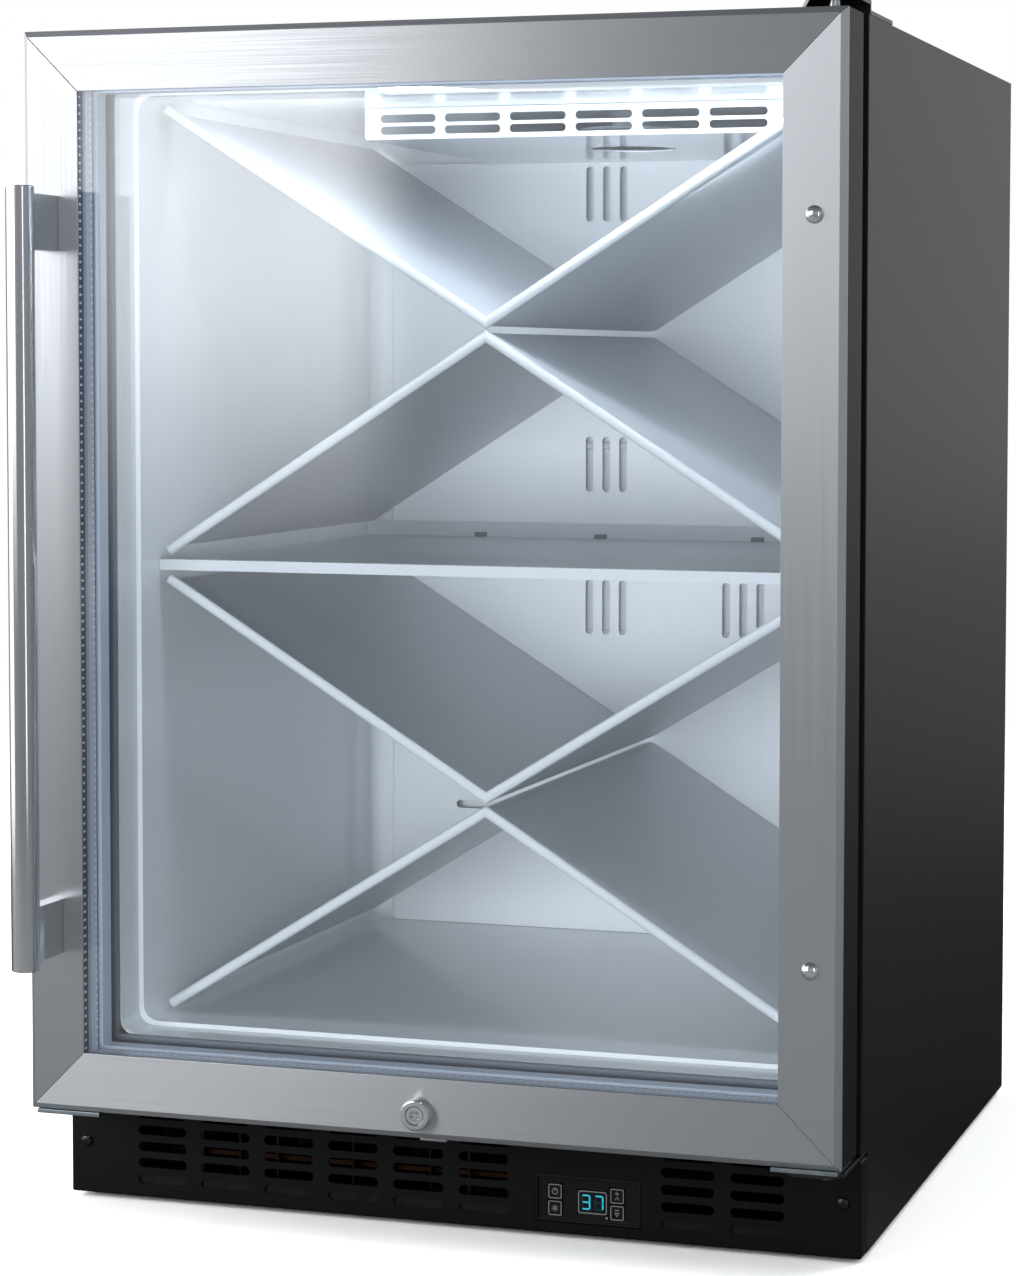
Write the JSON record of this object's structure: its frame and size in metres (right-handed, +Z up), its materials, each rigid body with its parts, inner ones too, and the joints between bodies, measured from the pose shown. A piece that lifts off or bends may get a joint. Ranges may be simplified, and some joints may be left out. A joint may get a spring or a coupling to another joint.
{
  "type": "undercounter refrigerator",
  "caption": "Undercounter display refrigerator with a steel-framed glass door, bar handle, lock, louvred kick plate, digital control and X-shaped bottle racks.",
  "frame": {"origin": "centre of the footprint at floor level", "axes": "+X to the right when facing the door, +Y from the door to the back, +Z up"},
  "size_m": [0.597, 0.665, 0.8635],
  "materials": {
    "brushed_stainless": "fine vertical and horizontal brushing, satin",
    "polished_stainless": "bright polished",
    "zinc_plate": "dull blue-grey zinc plating",
    "black_coated_steel": "fine-textured black powder coat",
    "black_plastic": "moulded, slightly satin",
    "white_steel": "smooth light grey-white coating",
    "white_liner": "vacuum-formed, glossy",
    "grey_plastic": "satin",
    "foam": "rigid foam",
    "clear_glass": "clear, low-emissivity",
    "black_rubber": "soft, matte",
    "galvanised_steel": "galvanised, dull",
    "copper_tube": "tarnished copper",
    "bare_aluminium": "mill finish",
    "lamp_lens": "frosted lamp cover",
    "display_glass": "dark glossy display window"
  },
  "bodies": {
    "cabinet": {"cabinet_wrapper": "black_coated_steel", "rear_panel": "galvanised_steel", "inner_liner": "white_liner", "insulation_foam": "foam", "front_breaker_frame": "black_plastic", "machine_deck": "galvanised_steel", "base_pan": "galvanised_steel", "kick_plate": "black_coated_steel", "control_housing": "black_plastic", "display_window": "display_glass", "lower_hinge_bracket": "black_coated_steel", "lower_hinge_pin": "zinc_plate", "upper_hinge_plate": "black_coated_steel", "upper_hinge_pin": "polished_stainless", "lock_strike": "zinc_plate", "duct_panel": "white_liner", "ceiling_duct": "white_liner", "circulation_fan_motor": "black_plastic", "light_strip": "lamp_lens", "evaporator_plate": "bare_aluminium", "middle_shelf": "white_steel", "upper_rack_vee": "white_steel", "upper_rack_peak": "white_steel", "lower_rack_vee": "white_steel", "lower_rack_peak": "white_steel", "compressor": "black_coated_steel", "condenser_coil": "copper_tube", "condenser_fan_shroud": "black_plastic", "condenser_fan_motor": "black_plastic", "drain_tray": "black_plastic", "power_inlet": "black_plastic"},
    "door": {"door_trim_top": "brushed_stainless", "door_trim_bottom": "brushed_stainless", "door_trim_left": "brushed_stainless", "door_trim_right": "brushed_stainless", "outer_glass": "clear_glass", "inner_glass": "clear_glass", "glass_spacer": "bare_aluminium", "door_core": "black_plastic", "door_inner_frame": "grey_plastic", "door_gasket": "black_rubber", "handle_bar": "brushed_stainless", "upper_handle_bracket": "brushed_stainless", "lower_handle_bracket": "brushed_stainless", "upper_hole_plug": "polished_stainless", "lower_hole_plug": "polished_stainless", "lock_body": "polished_stainless", "left_corner_plate": "zinc_plate", "right_corner_plate": "zinc_plate"},
    "lock_cylinder": {"lock_cylinder": "polished_stainless"},
    "power_key": {"power_key": "black_plastic"},
    "light_key": {"light_key": "black_plastic"},
    "up_key": {"up_key": "black_plastic"},
    "down_key": {"down_key": "black_plastic"},
    "front_left_foot": {"front_left_foot": "black_rubber"},
    "front_right_foot": {"front_right_foot": "black_rubber"},
    "rear_left_foot": {"rear_left_foot": "black_rubber"},
    "rear_right_foot": {"rear_right_foot": "black_rubber"},
    "condenser_fan_blade": {"condenser_fan_blade": "black_plastic"},
    "circulation_fan_wheel": {"circulation_fan_wheel": "black_plastic"}
  },
  "joints": [
    {"name": "door_hinge", "type": "hinge", "parent": "cabinet", "child": "door", "pos_m": [0.283, -0.25, 0.465], "axis": [0, 0, 1], "range_deg": [0, 110]},
    {"name": "lock_turn", "type": "hinge", "parent": "door", "child": "lock_cylinder", "pos_m": [0, -0.262, 0.099], "axis": [0, 1, 0], "range_deg": [0, 90]},
    {"name": "power_key_press", "type": "slide", "parent": "cabinet", "child": "power_key", "axis": [0, 1, 0], "range_m": [0, 0.0004], "stiffness_N_per_m": 300},
    {"name": "light_key_press", "type": "slide", "parent": "cabinet", "child": "light_key", "axis": [0, 1, 0], "range_m": [0, 0.0004], "stiffness_N_per_m": 300},
    {"name": "up_key_press", "type": "slide", "parent": "cabinet", "child": "up_key", "axis": [0, 1, 0], "range_m": [0, 0.0004], "stiffness_N_per_m": 300},
    {"name": "down_key_press", "type": "slide", "parent": "cabinet", "child": "down_key", "axis": [0, 1, 0], "range_m": [0, 0.0004], "stiffness_N_per_m": 300},
    {"name": "front_left_foot_height", "type": "slide", "parent": "cabinet", "child": "front_left_foot", "axis": [0, 0, -1], "range_m": [0, 0.02]},
    {"name": "front_right_foot_height", "type": "slide", "parent": "cabinet", "child": "front_right_foot", "axis": [0, 0, -1], "range_m": [0, 0.02]},
    {"name": "rear_left_foot_height", "type": "slide", "parent": "cabinet", "child": "rear_left_foot", "axis": [0, 0, -1], "range_m": [0, 0.02]},
    {"name": "rear_right_foot_height", "type": "slide", "parent": "cabinet", "child": "rear_right_foot", "axis": [0, 0, -1], "range_m": [0, 0.02]},
    {"name": "condenser_fan_spin", "type": "hinge", "parent": "cabinet", "child": "condenser_fan_blade", "pos_m": [-0.105, -0.1195, 0.053], "axis": [0, 1, 0], "continuous": true},
    {"name": "circulation_fan_spin", "type": "hinge", "parent": "cabinet", "child": "circulation_fan_wheel", "pos_m": [0.03, 0.13, 0.798], "axis": [0, 0, 1], "continuous": true}
  ]
}
